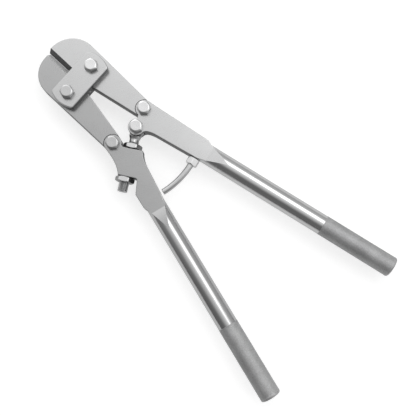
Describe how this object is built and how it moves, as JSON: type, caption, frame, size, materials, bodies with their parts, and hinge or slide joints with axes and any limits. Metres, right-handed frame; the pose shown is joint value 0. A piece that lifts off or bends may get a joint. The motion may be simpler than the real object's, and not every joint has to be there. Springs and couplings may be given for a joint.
{
  "type": "compound action pin cutter",
  "caption": "Two-handed compound-action cutter for surgical pins and wire, with bolted jaws, linked tubular handles, an adjusting eyebolt and knurled grips.",
  "frame": {"origin": "bottom centre of the bounding box with the jaws closed, on the plane that the rear bolt ends rest on", "axes": "+X from the jaws to the grips along the closed cutting line, +Y towards the upper handle, +Z to the front, along the pivots"},
  "size_m": [0.4668, 0.2204, 0.0454],
  "materials": {
    "ground_steel": "fine ground and glass-beaded satin",
    "satin_steel": "satin polished along the shank, knurled at the grips",
    "polished_steel": "turned and polished"
  },
  "bodies": {
    "clamp": {"front_clamp_plate": "ground_steel", "rear_clamp_plate": "ground_steel", "upper_jaw_bolt": "polished_steel", "upper_jaw_nut": "polished_steel", "lower_jaw_bolt": "polished_steel", "lower_jaw_nut": "polished_steel"},
    "upper_jaw_body": {"upper_jaw": "ground_steel"},
    "lower_jaw_body": {"lower_jaw": "ground_steel"},
    "upper_handle_body": {"upper_handle": "satin_steel", "upper_handle_end_plug": "satin_steel", "upper_handle_bolt": "polished_steel", "upper_handle_nut": "polished_steel", "centre_hinge_bolt": "polished_steel", "centre_hinge_nut": "polished_steel", "stop_rod": "satin_steel", "stop_rod_collar": "polished_steel"},
    "lower_handle_body": {"lower_handle": "satin_steel", "lower_handle_end_plug": "satin_steel", "lower_handle_bolt": "polished_steel", "lower_handle_nut": "polished_steel", "eyebolt": "satin_steel", "eyebolt_upper_nut": "polished_steel", "eyebolt_lower_nut": "polished_steel"}
  },
  "joints": [
    {"name": "upper_jaw_hinge", "type": "hinge", "parent": "clamp", "child": "upper_jaw_body", "pos_m": [-0.17867, 0.03327, 0.0228], "axis": [0, 0, 1], "range_deg": [-4, 0]},
    {"name": "lower_jaw_hinge", "type": "hinge", "parent": "clamp", "child": "lower_jaw_body", "pos_m": [-0.17649, -0.00828, 0.0228], "axis": [0, 0, 1], "range_deg": [0, 4]},
    {"name": "upper_handle_hinge", "type": "hinge", "parent": "upper_jaw_body", "child": "upper_handle_body", "pos_m": [-0.10057, 0.03987, 0.0228], "axis": [0, 0, 1], "range_deg": [0, 35]},
    {"name": "lower_handle_hinge", "type": "hinge", "parent": "lower_jaw_body", "child": "lower_handle_body", "pos_m": [-0.09839, -0.01488, 0.0228], "axis": [0, 0, 1], "range_deg": [-23.2, 0]}
  ],
  "couplings": [
    {"joint": "upper_jaw_hinge", "follows": "upper_handle_hinge", "ratio": -0.113},
    {"joint": "lower_jaw_hinge", "follows": "upper_handle_hinge", "ratio": 0.113},
    {"joint": "lower_handle_hinge", "follows": "upper_handle_hinge", "ratio": -0.661}
  ]
}
